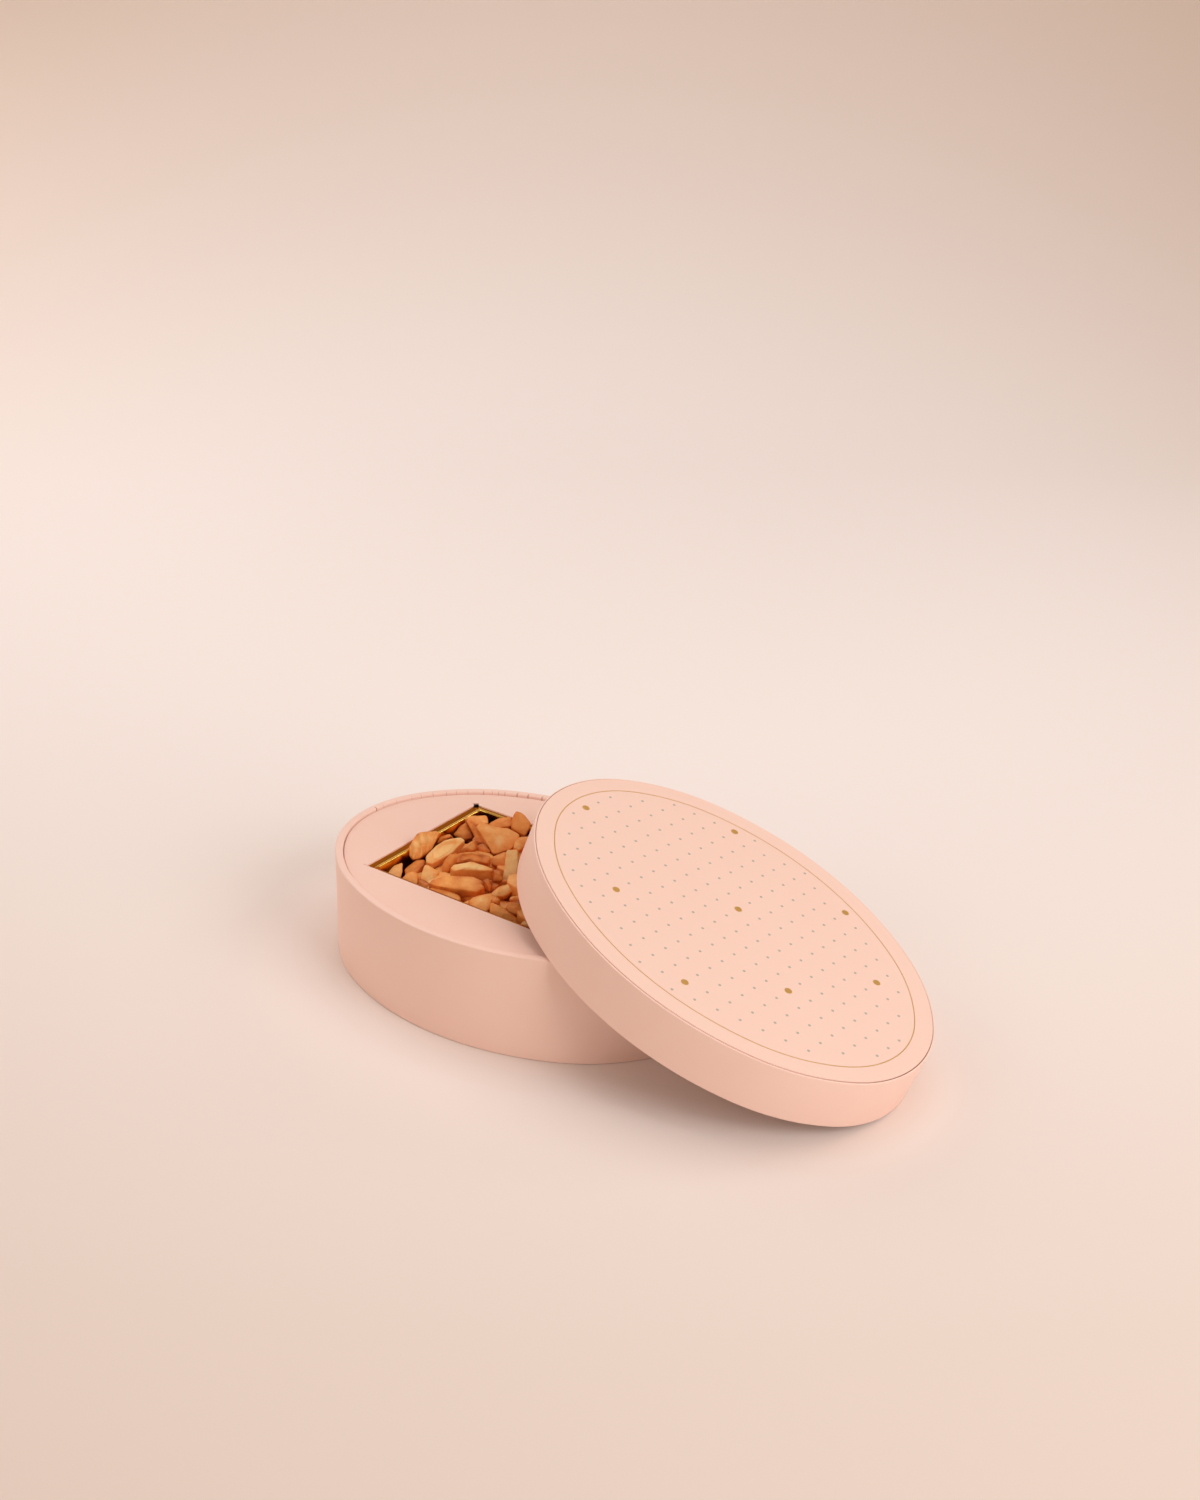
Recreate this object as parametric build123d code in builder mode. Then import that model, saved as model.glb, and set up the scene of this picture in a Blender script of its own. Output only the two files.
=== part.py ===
"""Oval paperboard sweet box with a gold tray of fried dough pieces.

The lift-off lid is off the tub. Its far end stands on the floor and its mouth leans on the
tub's rim, so its rest pose is worked out from the sizes of both. Millimetres, +Z up. The
origin is the middle of the tub's underside, and +X runs along the tub's length.
"""

import math
import os

from build123d import *

# Tub, outside
base_length = 227.0
base_width = 165.0
base_height = 58.0

# Lid, outside
lid_length = 232.0
lid_width = 170.0
lid_height = 29.0

# Boards and papers
base_board = 3.7
bottom_board = 2.0
lid_board = 1.5
top_board = 2.0
wrap_paper = 0.25
sheet_paper = 0.3
board_fit = 0.1
paper_fit = 0.3

# Each quarter of an oval is three arcs: they meet where the outline faces these angles,
# and the middle arc's radius is this share of the mean half size
end_arc_angle = 34.0
side_arc_angle = 64.0
shoulder_radius_share = 0.98

# Wrap of the tub
rim_bevel = 0.3
turn_in_depth = 14.0
turn_under_width = 12.0
bottom_paper_inset = 2.5

# Deck, its collar and its window
deck_recess = 1.6
deck_card = 0.8
deck_gap = 0.6
collar_card = 1.0
window_end_margin = 42.5
window_side_margin = 37.0
window_shift = -1.3
corner_slit_length = 2.6
corner_slit_width = 0.4
corner_notch = 2.0

# Folded gold tray
tray_end_lip = 5.0
tray_side_lip = 2.5
tray_card = 0.5
flange_width = 9.0
flange_corner_gap = 1.5

# Wrap and sheets of the lid
lid_edge_bevel = 0.3
lid_turn_in_depth = 12.0
lid_turn_over_width = 8.0
lid_sheet_inset = 1.2

# Where the lid stands: the middle of its mouth on plan, and its turn about the vertical
lid_reach = 111.4
lid_offset = 6.5
lid_turn = -4.56
lid_seat_gap = 0.3
lid_lean_guess = 19.0
lid_bank_guess = -4.0
outline_steps = 720
angle_step = 0.05
rest_rounds = 8

# Fried dough pieces
piece_length = 31.0
piece_width = 15.0
piece_thickness = 8.0
piece_gap = 0.3
piece_bevel = 1.6
piece_tip_share = 0.16
column_room = 32.5
row_room = 17.0
layer_turn = 16.0
top_tilt = 5.0
top_pitch = 2.0
crown_tilt = 12.0
crown_pitch = 5.0
crown_rows = 3
phase_step = 2.4
settle_rounds = 4

# Cuts run past what they cut by this much
overrun = 1.0


def oval_arcs(length, width, inset=0):
    """Centre, radius and last facing angle of each arc in an oval's first quarter.

    An inset keeps the centres and takes the same from every radius, so the outlines stay parallel.
    """
    half_long, half_wide = length / 2, width / 2
    shoulder = shoulder_radius_share * (half_long + half_wide) / 2
    first, last = math.radians(end_arc_angle), math.radians(side_arc_angle)
    # The radii of the end and the side arc follow from the half length and the half width
    a, b = 1 - math.cos(first), math.cos(last)
    c, d = math.sin(first), 1 - math.sin(last)
    along = half_long + shoulder * (math.cos(last) - math.cos(first))
    across = half_wide - shoulder * (math.sin(last) - math.sin(first))
    end = (d * along - b * across) / (a * d - b * c)
    side = (a * across - c * along) / (a * d - b * c)
    end_middle = Vector(half_long - end, 0)
    shoulder_middle = end_middle + Vector(math.cos(first), math.sin(first)) * (end - shoulder)
    side_middle = shoulder_middle + Vector(math.cos(last), math.sin(last)) * (shoulder - side)
    return [
        (end_middle, end - inset, end_arc_angle),
        (shoulder_middle, shoulder - inset, side_arc_angle),
        (side_middle, side - inset, 90),
    ]


def oval_point(arcs, facing):
    """Point of an oval where its outline faces an angle in degrees."""
    c, s = math.cos(math.radians(facing)), math.sin(math.radians(facing))
    quarter_facing = math.degrees(math.atan2(abs(s), abs(c)))
    middle, radius, _ = next(arc for arc in arcs if quarter_facing <= arc[2] or arc is arcs[-1])
    x = middle.X + radius * abs(c)
    y = middle.Y + radius * abs(s)
    return Vector(math.copysign(x, c), math.copysign(y, s))


def outside_oval(arcs, x, y):
    """Distance of a point outside an oval, negative inside it."""
    for middle, radius, last in arcs:
        away = Vector(abs(x), abs(y)) - middle
        if math.degrees(math.atan2(away.Y, away.X)) <= last or last == 90:
            return away.length - radius


def oval(length, width, inset=0, mode=Mode.ADD):
    """Oval face in the sketch being built."""
    (end_middle, end, _), (shoulder_middle, shoulder, _), (side_middle, side, _) = oval_arcs(
        length, width, inset
    )
    shoulder_sweep = side_arc_angle - end_arc_angle
    side_sweep = 2 * (90 - side_arc_angle)
    with BuildLine() as outline:
        with BuildLine(mode=Mode.PRIVATE) as half:
            CenterArc((shoulder_middle.X, shoulder_middle.Y), shoulder, end_arc_angle, shoulder_sweep)
            CenterArc((side_middle.X, side_middle.Y), side, side_arc_angle, side_sweep)
            CenterArc(
                (-shoulder_middle.X, shoulder_middle.Y),
                shoulder,
                180 - side_arc_angle,
                shoulder_sweep,
            )
            CenterArc((-end_middle.X, 0), end, 180 - end_arc_angle, 2 * end_arc_angle)
        add(half.line)
        add(half.line, rotation=180)
    make_face(outline.edges(), mode=mode)


def oval_tube(plane, length, width, wall, height, top_bevel=0, inner_bevel=0):
    """Oval band that stands on a plane, with the top edges bevelled that are given a length."""
    up = Axis(plane.origin, plane.z_dir)
    with BuildPart() as tube:
        with BuildSketch(plane):
            oval(length, width)
            oval(length, width, wall, mode=Mode.SUBTRACT)
        extrude(amount=height)
        top = tube.faces().sort_by(up)[-1]
        outer_edges = top.outer_wire().edges()
        inner_edges = top.inner_wires()[0].edges()
        if top_bevel > 0:
            chamfer(outer_edges, length=top_bevel)
        if inner_bevel > 0:
            chamfer(inner_edges, length=inner_bevel)
    return tube.part


# Levels of the tub, from the floor up
base_wall = base_board + 2 * wrap_paper
board_foot = 2 * wrap_paper
floor_top = board_foot + bottom_board
deck_top = base_height - deck_recess
deck_underside = deck_top - deck_card

with BuildPart() as base_bottom_paper:
    with BuildSketch(Plane.XY):
        oval(base_length, base_width, bottom_paper_inset)
    extrude(amount=wrap_paper)

wall_board_length = base_length - 2 * wrap_paper
wall_board_width = base_width - 2 * wrap_paper
wall_board_height = base_height - board_foot - wrap_paper
wall_form = oval_tube(
    Plane.XY.offset(board_foot),
    wall_board_length,
    wall_board_width,
    base_board,
    wall_board_height,
)
with BuildPart() as base_wall_board:
    add(wall_form)

with BuildPart() as base_bottom_board:
    with BuildSketch(Plane.XY.offset(board_foot)):
        oval(wall_board_length, wall_board_width, base_board + board_fit)
    extrude(amount=bottom_board)

# The wrap is the outer form less the board, open inside below its turned-in edge
wrap_form = oval_tube(
    Plane.XY.offset(wrap_paper),
    base_length,
    base_width,
    base_wall,
    base_height - wrap_paper,
    top_bevel=rim_bevel,
    inner_bevel=rim_bevel,
)
with BuildPart() as base_wrap_paper:
    add(wrap_form)
    add(wall_form, mode=Mode.SUBTRACT)
    with BuildSketch(Plane.XY):
        oval(wall_board_length, wall_board_width, base_board)
    extrude(amount=base_height - turn_in_depth, mode=Mode.SUBTRACT)
    with BuildSketch(Plane.XY.offset(wrap_paper)):
        oval(base_length, base_width, base_wall / 2)
        oval(base_length, base_width, turn_under_width, mode=Mode.SUBTRACT)
    extrude(amount=wrap_paper)

with BuildPart() as platform_support_collar:
    with BuildSketch(Plane.XY.offset(floor_top)):
        oval(base_length, base_width, base_wall + paper_fit)
        oval(base_length, base_width, base_wall + paper_fit + collar_card, mode=Mode.SUBTRACT)
    extrude(amount=deck_underside - floor_top)

window_length = base_length - 2 * window_end_margin
window_width = base_width - 2 * window_side_margin


def window_plane(height):
    """Level plane whose origin is under the middle of the window."""
    return Plane((0, window_shift, height))


# The window is die cut: its corners are overcut by short slits, and one is nicked open
with BuildPart() as platform_card:
    with BuildSketch(Plane.XY.offset(deck_underside)):
        oval(base_length, base_width, base_wall + deck_gap)
    extrude(amount=deck_card)
    with BuildSketch(window_plane(deck_underside - overrun)):
        Rectangle(window_length, window_width)
        with GridLocations(window_length, window_width - corner_slit_width, 2, 2):
            Rectangle(2 * corner_slit_length, corner_slit_width)
        with Locations((-window_length / 2, window_width / 2)):
            RegularPolygon(corner_notch, 4, rotation=0)
    extrude(amount=deck_card + 2 * overrun, mode=Mode.SUBTRACT)

# The tray's flanges show inside the window, as its opening is smaller by a lip on each side
tray_length = window_length - 2 * tray_end_lip
tray_width = window_width - 2 * tray_side_lip
tray_top = deck_underside
tray_floor_top = floor_top + tray_card
with BuildPart() as gold_tray:
    with BuildSketch(window_plane(floor_top)):
        Rectangle(tray_length + 2 * tray_card, tray_width + 2 * tray_card)
    extrude(amount=tray_top - floor_top)
    # Flanges folded out under the deck, one to a side, with open corners between them
    with BuildSketch(window_plane(tray_top - tray_card)):
        Rectangle(tray_length + 2 * flange_width, tray_width - 2 * flange_corner_gap)
        Rectangle(tray_length - 2 * flange_corner_gap, tray_width + 2 * flange_width)
    extrude(amount=tray_card)
    with BuildSketch(window_plane(tray_floor_top)):
        Rectangle(tray_length, tray_width)
    extrude(amount=tray_top - tray_floor_top + overrun, mode=Mode.SUBTRACT)


def dough_outline(tip_share):
    """Corners of a lozenge about its middle, its tips blunt by a share of its width."""
    half_long = piece_length / 2
    half_wide = piece_width / 2
    if tip_share == 0:
        return [(half_long, 0), (0, half_wide), (-half_long, 0), (0, -half_wide)]
    tip = half_wide * tip_share
    return [
        (half_long, -tip),
        (half_long, tip),
        (0, half_wide),
        (-half_long, tip),
        (-half_long, -tip),
        (0, -half_wide),
    ]


def dough_piece(plane, bevel):
    """Fried lozenge about a plane: a seen one has bevelled edges and blunt tips."""
    with BuildPart() as piece:
        with BuildSketch(plane.offset(-piece_thickness / 2)):
            Polygon(*dough_outline(piece_tip_share if bevel > 0 else 0), align=None)
        extrude(amount=piece_thickness)
        if bevel > 0:
            up = Axis(plane.origin, plane.z_dir)
            caps = piece.faces().sort_by(up)
            chamfer(caps[0].edges() + caps[-1].edges(), length=bevel)
    return piece.part


def tilted_plane(x, y, turn, tilt, pitch):
    """Plane over a place in the tray, turned on plan, rolled about and pitched along its length."""
    level = Plane(origin=(x, y, 0), z_dir=(0, 0, 1))
    return level.rotated((tilt, pitch, turn))


def settled(piece, below):
    """A piece let down until it lies just over the pieces below it."""
    carrier = Compound(below)
    for _ in range(settle_rounds):
        drop = piece.distance_to(carrier) - piece_gap
        piece = piece.moved(Location((0, 0, -drop)))
    return piece


def dough_layer(support, columns, rows, tilt, pitch, seed, bevel):
    """Pieces laid in rows about the middle of the tray, each with its lowest point just over
    a level."""
    pieces = []
    for column in range(columns):
        for row in range(rows):
            phase = phase_step * (seed + column * most_rows + row)
            plane = tilted_plane(
                ((columns - 1) / 2 - column) * tray_length / most_columns,
                window_shift + (row - (rows - 1) / 2) * tray_width / most_rows,
                layer_turn * math.sin(phase),
                math.copysign(tilt, math.sin(2 * phase)),
                pitch * math.cos(phase),
            )
            piece = dough_piece(plane, bevel)
            lift = support + piece_gap - piece.bounding_box().min.Z
            pieces.append(piece.moved(Location((0, 0, lift))))
    return pieces


# Flat layers lie like bricks, every second one a row short. The room of one layer is left for
# a loose top layer, and a tumbled crown rests on it.
most_columns = int(tray_length // column_room)
most_rows = int(tray_width // row_room)
layer_rise = piece_thickness + piece_gap
flat_layers = int((tray_top - tray_floor_top) // layer_rise) - 1
with BuildPart() as fried_lower_pieces:
    for level in range(flat_layers):
        support = tray_floor_top + level * layer_rise
        seed = level * most_rows
        add(dough_layer(support, most_columns, most_rows - level % 2, 0, 0, seed, 0))
with BuildPart() as fried_top_pieces:
    support = tray_floor_top + flat_layers * layer_rise
    seed = flat_layers * most_rows
    top = dough_layer(support, most_columns, most_rows, top_tilt, top_pitch, seed, piece_bevel)
    add(top)
    support = max(piece.bounding_box().max.Z for piece in top)
    columns = most_columns - 1
    seed += columns * most_rows
    crown = dough_layer(support, columns, crown_rows, crown_tilt, crown_pitch, seed, piece_bevel)
    add([settled(piece, top) for piece in crown])


def lid_axes(lean, bank):
    """Directions of the lid's length, width and height, from its turn, lean and bank."""
    turn, lean, bank = (math.radians(angle) for angle in (lid_turn, lean, bank))
    along = Vector(math.cos(turn) * math.cos(lean), math.sin(turn) * math.cos(lean), -math.sin(lean))
    level = Vector(-math.sin(turn), math.cos(turn), 0)
    square = along.cross(level)
    across = level * math.cos(bank) + square * math.sin(bank)
    return along, across, along.cross(across)


def mouth_middle(along, across):
    """Middle of the lid's mouth when the lowest point of its edge is on the floor."""
    downhill = math.degrees(math.atan2(-across.Z, -along.Z))
    lowest = oval_point(oval_arcs(lid_length, lid_width), downhill)
    return Vector(lid_reach, lid_offset, -(lowest.X * along.Z + lowest.Y * across.Z))


def heights_over_rim(lean, bank):
    """Heights at which the mouth's inner edge crosses the tub's outline, far side first."""
    along, across, _ = lid_axes(lean, bank)
    middle = mouth_middle(along, across)
    mouth_arcs = oval_arcs(lid_length, lid_width, lid_wall)
    base_arcs = oval_arcs(base_length, base_width)
    crossings = []
    before = None
    for step in range(outline_steps + 1):
        edge = oval_point(mouth_arcs, 360 * step / outline_steps)
        point = middle + along * edge.X + across * edge.Y
        outside = outside_oval(base_arcs, point.X, point.Y)
        if before and (outside > 0) != (before[1] > 0):
            share = before[1] / (before[1] - outside)
            crossings.append(before[0] + (point - before[0]) * share)
        before = (point, outside)
    far, near = sorted(crossings, key=lambda point: -point.Y)
    return far.Z, near.Z


def lid_at_rest():
    """Lean and bank at which the lid rests on both sides of the rim, by Newton's method."""
    lean, bank = lid_lean_guess, lid_bank_guess
    seat = base_height + lid_seat_gap
    for _ in range(rest_rounds):
        far, near = heights_over_rim(lean, bank)
        far_lean, near_lean = heights_over_rim(lean + angle_step, bank)
        far_bank, near_bank = heights_over_rim(lean, bank + angle_step)
        a, b = (far_lean - far) / angle_step, (far_bank - far) / angle_step
        c, d = (near_lean - near) / angle_step, (near_bank - near) / angle_step
        miss_far, miss_near = seat - far, seat - near
        spread = a * d - b * c
        lean += (d * miss_far - b * miss_near) / spread
        bank += (a * miss_near - c * miss_far) / spread
    return lean, bank


lid_wall = lid_board + 2 * wrap_paper
lid_lean, lid_bank = lid_at_rest()
lid_along, lid_across, lid_up = lid_axes(lid_lean, lid_bank)
lid_plane = Plane(origin=mouth_middle(lid_along, lid_across), x_dir=lid_along, z_dir=lid_up)
print(f"lid leans {lid_lean:.2f} degrees and banks {lid_bank:.2f}")

# Levels of the lid, from its mouth up along its own height
wrap_top = lid_height - sheet_paper
panel_top = wrap_top - wrap_paper
band_length = lid_length - 2 * wrap_paper
band_width = lid_width - 2 * wrap_paper

band_form = oval_tube(
    lid_plane.offset(wrap_paper),
    band_length,
    band_width,
    lid_board,
    panel_top - wrap_paper,
)
with BuildPart() as lid_band_board:
    add(band_form)

with BuildPart() as lid_top_board:
    with BuildSketch(lid_plane.offset(panel_top - top_board)):
        oval(band_length, band_width, lid_board + board_fit)
    extrude(amount=top_board)

band_wrap_form = oval_tube(
    lid_plane,
    lid_length,
    lid_width,
    lid_wall,
    wrap_top,
    top_bevel=lid_edge_bevel,
)
with BuildPart() as lid_band_wrap_paper:
    add(band_wrap_form)
    add(band_form, mode=Mode.SUBTRACT)
    with BuildSketch(lid_plane.offset(lid_turn_in_depth)):
        oval(band_length, band_width, lid_board)
    extrude(amount=lid_height, mode=Mode.SUBTRACT)
    with BuildSketch(lid_plane.offset(panel_top)):
        oval(lid_length, lid_width, lid_wall / 2)
        oval(lid_length, lid_width, lid_turn_over_width, mode=Mode.SUBTRACT)
    extrude(amount=wrap_paper)

with BuildPart() as lid_top_paper:
    with BuildSketch(lid_plane.offset(wrap_top)):
        oval(lid_length, lid_width, lid_sheet_inset)
    extrude(amount=sheet_paper)

with BuildPart() as lid_inside_paper:
    with BuildSketch(lid_plane.offset(panel_top - top_board - wrap_paper)):
        oval(band_length, band_width, lid_board + paper_fit)
    extrude(amount=wrap_paper)

pieces = {
    "base_bottom_paper": base_bottom_paper,
    "base_wall_board": base_wall_board,
    "base_bottom_board": base_bottom_board,
    "base_wrap_paper": base_wrap_paper,
    "platform_support_collar": platform_support_collar,
    "platform_card": platform_card,
    "gold_tray": gold_tray,
    "fried_lower_pieces": fried_lower_pieces,
    "fried_top_pieces": fried_top_pieces,
    "lid_band_board": lid_band_board,
    "lid_top_board": lid_top_board,
    "lid_band_wrap_paper": lid_band_wrap_paper,
    "lid_top_paper": lid_top_paper,
    "lid_inside_paper": lid_inside_paper,
}
os.makedirs("parts", exist_ok=True)
for name, piece in pieces.items():
    piece.part.label = name
    export_step(piece.part, f"parts/{name}.step")
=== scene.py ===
# %% [markdown]
# # An oval sweet box in covered board
#
# The box is greyboard covered with a matt blush paper. Its lid has been lifted off and leans on
# the tub. Inside, a card deck with a window frames a folded gold tray heaped with fried dough.
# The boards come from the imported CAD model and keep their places. What the eye meets first, the
# paper, the print, the gold and the dough, is built here around them.

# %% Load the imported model
import math
import random

import bmesh
import bpy
import numpy as np
from mathutils import Matrix, Vector, noise


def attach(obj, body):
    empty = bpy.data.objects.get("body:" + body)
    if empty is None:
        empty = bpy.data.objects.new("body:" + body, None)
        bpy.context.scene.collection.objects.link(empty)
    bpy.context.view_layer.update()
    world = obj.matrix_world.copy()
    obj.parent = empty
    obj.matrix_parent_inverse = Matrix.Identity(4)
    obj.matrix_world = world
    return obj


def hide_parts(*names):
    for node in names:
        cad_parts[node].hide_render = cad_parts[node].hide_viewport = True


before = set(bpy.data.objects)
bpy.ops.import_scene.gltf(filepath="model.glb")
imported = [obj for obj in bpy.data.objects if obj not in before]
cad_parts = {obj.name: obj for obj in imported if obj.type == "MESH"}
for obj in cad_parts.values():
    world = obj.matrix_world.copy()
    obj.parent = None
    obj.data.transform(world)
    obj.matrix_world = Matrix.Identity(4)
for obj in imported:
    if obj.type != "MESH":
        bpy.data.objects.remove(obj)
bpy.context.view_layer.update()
print("CAD nodes:", sorted(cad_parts))

# %% [markdown]
# Blender works in metres and a box maker in millimetres, so the sizes below are written in
# millimetres and turned over once, where points become a mesh. Colours are written as the hex
# values that a printer would quote. Blender wants them linear, which one function sees to. A
# second one makes an object and links it into the scene.

# %% Units, colours and objects
MM = 0.001
blush_tint, blush_shade = "#fad7c8", "#f8d2c2"


def linear(hex_code):
    """Linear RGBA of an sRGB hex colour."""
    channels = (int(hex_code[i : i + 2], 16) / 255 for i in (1, 3, 5))
    return (*((c / 12.92 if c <= 0.04045 else ((c + 0.055) / 1.055) ** 2.4) for c in channels), 1)


def add_object(name, data):
    """Object of a mesh, curve, light or camera, linked into the scene."""
    obj = bpy.data.objects.new(name, data)
    bpy.context.scene.collection.objects.link(obj)
    return obj


print("blush paper in linear light:", [round(c, 3) for c in linear(blush_tint)])

# %% [markdown]
# ## Camera
#
# The viewpoint was solved from the lid's even lattice of dots, whose spacing fixes both the
# distance and the tilt. A camera looks along its own -Z. It is rolled about that axis, raised
# from looking straight down, and turned about the vertical, in this order. The picture is 1200
# by 1500 pixels, and the sensor's 36 mm lie along the longer side.

# %% Camera
image_width, image_height = 1200, 1500
sensor_long_side = 36.0
camera_place = Vector((576.92, -750.19, 570.73))
camera_azimuth = math.radians(35.378)
camera_pitch = math.radians(25.103)
camera_roll = math.radians(1.29)
focal_length = 49.263

raised = Matrix.Rotation(math.pi / 2 - camera_pitch, 3, "X")
rolled = Matrix.Rotation(camera_roll, 3, "Z")
camera_turn = Matrix.Rotation(camera_azimuth, 3, "Z") @ raised @ rolled

camera_data = bpy.data.cameras.new("camera")
camera_data.lens = focal_length
camera_data.sensor_width = sensor_long_side
camera_data.sensor_fit = "AUTO"
camera = add_object("camera", camera_data)
camera.matrix_world = Matrix.Translation(camera_place * MM) @ camera_turn.to_4x4()
bpy.context.scene.camera = camera
print("camera stands", round(camera_place.length), "mm from the middle of the tub's underside")

# %% [markdown]
# Some pieces below are placed by where they lie in the picture of 1200 by 1500 pixels. A pixel
# gives a ray, and the height of the piece says where on that ray it is.

# %% From a pixel to a place
pixels_per_slope = focal_length / sensor_long_side * image_height
window_corner_pixel, deck_level = (366, 864), 56.4


def place_at(pixel, height):
    """Point at a height, in millimetres, that the camera sees at a pixel of the picture."""
    right = (pixel[0] - image_width / 2) / pixels_per_slope
    up = (image_height / 2 - pixel[1]) / pixels_per_slope
    ray = camera_turn @ Vector((right, up, -1))
    return camera_place + ray * ((height - camera_place.z) / ray.z)


window_corner = place_at(window_corner_pixel, deck_level)
print("the window's left corner lies at", [round(c, 1) for c in window_corner], "mm")

# %% [markdown]
# ## Materials
#
# Every finish is a node tree. One helper adds a node, sets its options and either sets or links
# its sockets, so a material reads as a list of what it is made of.

# %% Node helper
def add_node(material, kind, options=None, sockets=None):
    """Adds a node. A socket given another node's output is linked to it, any other is set."""
    tree = material.node_tree
    node = tree.nodes.new(kind)
    for option, value in (options or {}).items():
        setattr(node, option, value)
    for socket, value in (sockets or {}).items():
        if isinstance(value, bpy.types.NodeSocket):
            tree.links.new(value, node.inputs[socket])
        else:
            node.inputs[socket].default_value = value
    return node


def new_material(name):
    """Material with an empty node tree."""
    material = bpy.data.materials.new(name)
    material.use_nodes = True
    material.node_tree.nodes.clear()
    return material


def finish_with(material, sockets):
    """Ends a material with one Principled shader."""
    shader = add_node(material, "ShaderNodeBsdfPrincipled", sockets=sockets)
    add_node(material, "ShaderNodeOutputMaterial", sockets={"Surface": shader.outputs[0]})
    return material


print("materials so far:", len(bpy.data.materials))

# %% [markdown]
# Four patterns come back in nearly every finish: a noise whose features have a real size, a mix
# of two colours, a ramp through several, and a bump with a real depth. Each has a helper that
# takes millimetres.

# %% Pattern helpers
def object_place(material):
    """The object's own coordinates, to which every pattern is fixed."""
    return add_node(material, "ShaderNodeTexCoord").outputs["Object"]


def per_metre(size):
    """Noise scale whose features are about a size in millimetres."""
    return 1 / (size * MM)


def speckle(material, place, size, detail, roughness=0.5):
    """Noise with features of about a size."""
    sockets = {"Vector": place, "Scale": per_metre(size), "Detail": detail, "Roughness": roughness}
    return add_node(material, "ShaderNodeTexNoise", sockets=sockets).outputs["Fac"]


def mixed(material, share, first, second):
    """Colour between two, each a linear value or another node's output."""
    sockets = {0: share, 6: first, 7: second}
    return add_node(material, "ShaderNodeMix", {"data_type": "RGBA"}, sockets).outputs[2]


def ramp(material, share, *stops):
    """Colour that runs through stops, each a position and a hex colour, from 0 to 1."""
    node = add_node(material, "ShaderNodeValToRGB", sockets={"Fac": share})
    elements = node.color_ramp.elements
    elements[0].color, elements[1].color = linear(stops[0][1]), linear(stops[-1][1])
    for position, hex_code in stops[1:-1]:
        elements.new(position).color = linear(hex_code)
    return node.outputs["Color"]


def relief(material, height, strength, depth, under=None):
    """Bump with a depth, laid over another bump if one is given."""
    sockets = {"Height": height, "Strength": strength, "Distance": depth * MM}
    if under is not None:
        sockets["Normal"] = under
    return add_node(material, "ShaderNodeBump", sockets=sockets).outputs["Normal"]


fibre_size = 0.6
print("fibres", fibre_size, "mm apart need a noise scale of", round(per_metre(fibre_size)))

# %% [markdown]
# **Covering paper.** The box is covered with a wood-free offset paper of about 120 g/m2, printed
# in one flat tint with a matt varnish. Paper is pressed fibre: up close the tint clouds a little
# and the surface has a fine tooth, which is why its highlight is broad and faint. The clouds
# are a slow noise and the tooth a fast one. Fibres of 0.02 mm would vanish at this distance, so
# the tooth is drawn at 0.6 mm. The deck is coated card, a little smoother.
#
# Where the paper turns over the rim it is cut into tabs, and the cuts catch shadow. The mesh
# carries them as an attribute named cuts, and this material paints that shade in a dark tint.

# %% Covering paper and deck card
paper_ior, paper_roughness = 1.46, 0.62
cloud_size = 26.0


def paper(name, tint, shade, tooth=0.02, roughness=paper_roughness, cut_shade_tint=None):
    """Matt printed paper, clouded between a tint and a slightly darker shade."""
    material = new_material(name)
    place = object_place(material)
    clouds = speckle(material, place, cloud_size, 4.0, 0.55)
    colour = mixed(material, clouds, linear(tint), linear(shade))
    if cut_shade_tint:
        # the cuts attribute carries painted shade: the tub's cuts and seam, and the lid's shadow
        # line
        cuts = add_node(material, "ShaderNodeAttribute", {"attribute_name": "cuts"})
        colour = mixed(material, cuts.outputs["Fac"], colour, linear(cut_shade_tint))
    fibres = speckle(material, place, fibre_size, 3.0)
    return finish_with(material, {
        "Base Color": colour,
        "Normal": relief(material, fibres, 0.25, tooth),
        "Roughness": roughness,
        "IOR": paper_ior,
    })


covering_paper = paper("covering_paper", blush_tint, blush_shade, cut_shade_tint="#a5705a")
print_paper = paper("matt_print_paper", "#f8d5c4", "#f6d1c0", tooth=0.012)
deck_card = paper("coated_deck_card", "#fad6c7", "#f8d1c0", tooth=0.015, roughness=0.55)
print("papers:", covering_paper.name, print_paper.name, deck_card.name)

# %% [markdown]
# **Greyboard.** The boards are pressed from waste paper. They show only inside, as a warm grey
# with darker and lighter flecks about a millimetre long.

# %% Greyboard
board_fleck = 1.1
greyboard = new_material("pressed_greyboard")
flecks = speckle(greyboard, object_place(greyboard), board_fleck, 5.0, 0.7)
finish_with(greyboard, {
    "Base Color": mixed(greyboard, flecks, linear("#8b8177"), linear("#b3a99d")),
    "Normal": relief(greyboard, flecks, 0.4, 0.05),
    "Roughness": 0.85,
    "IOR": 1.45,
})
print("greyboard flecks:", board_fleck, "mm")
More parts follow.
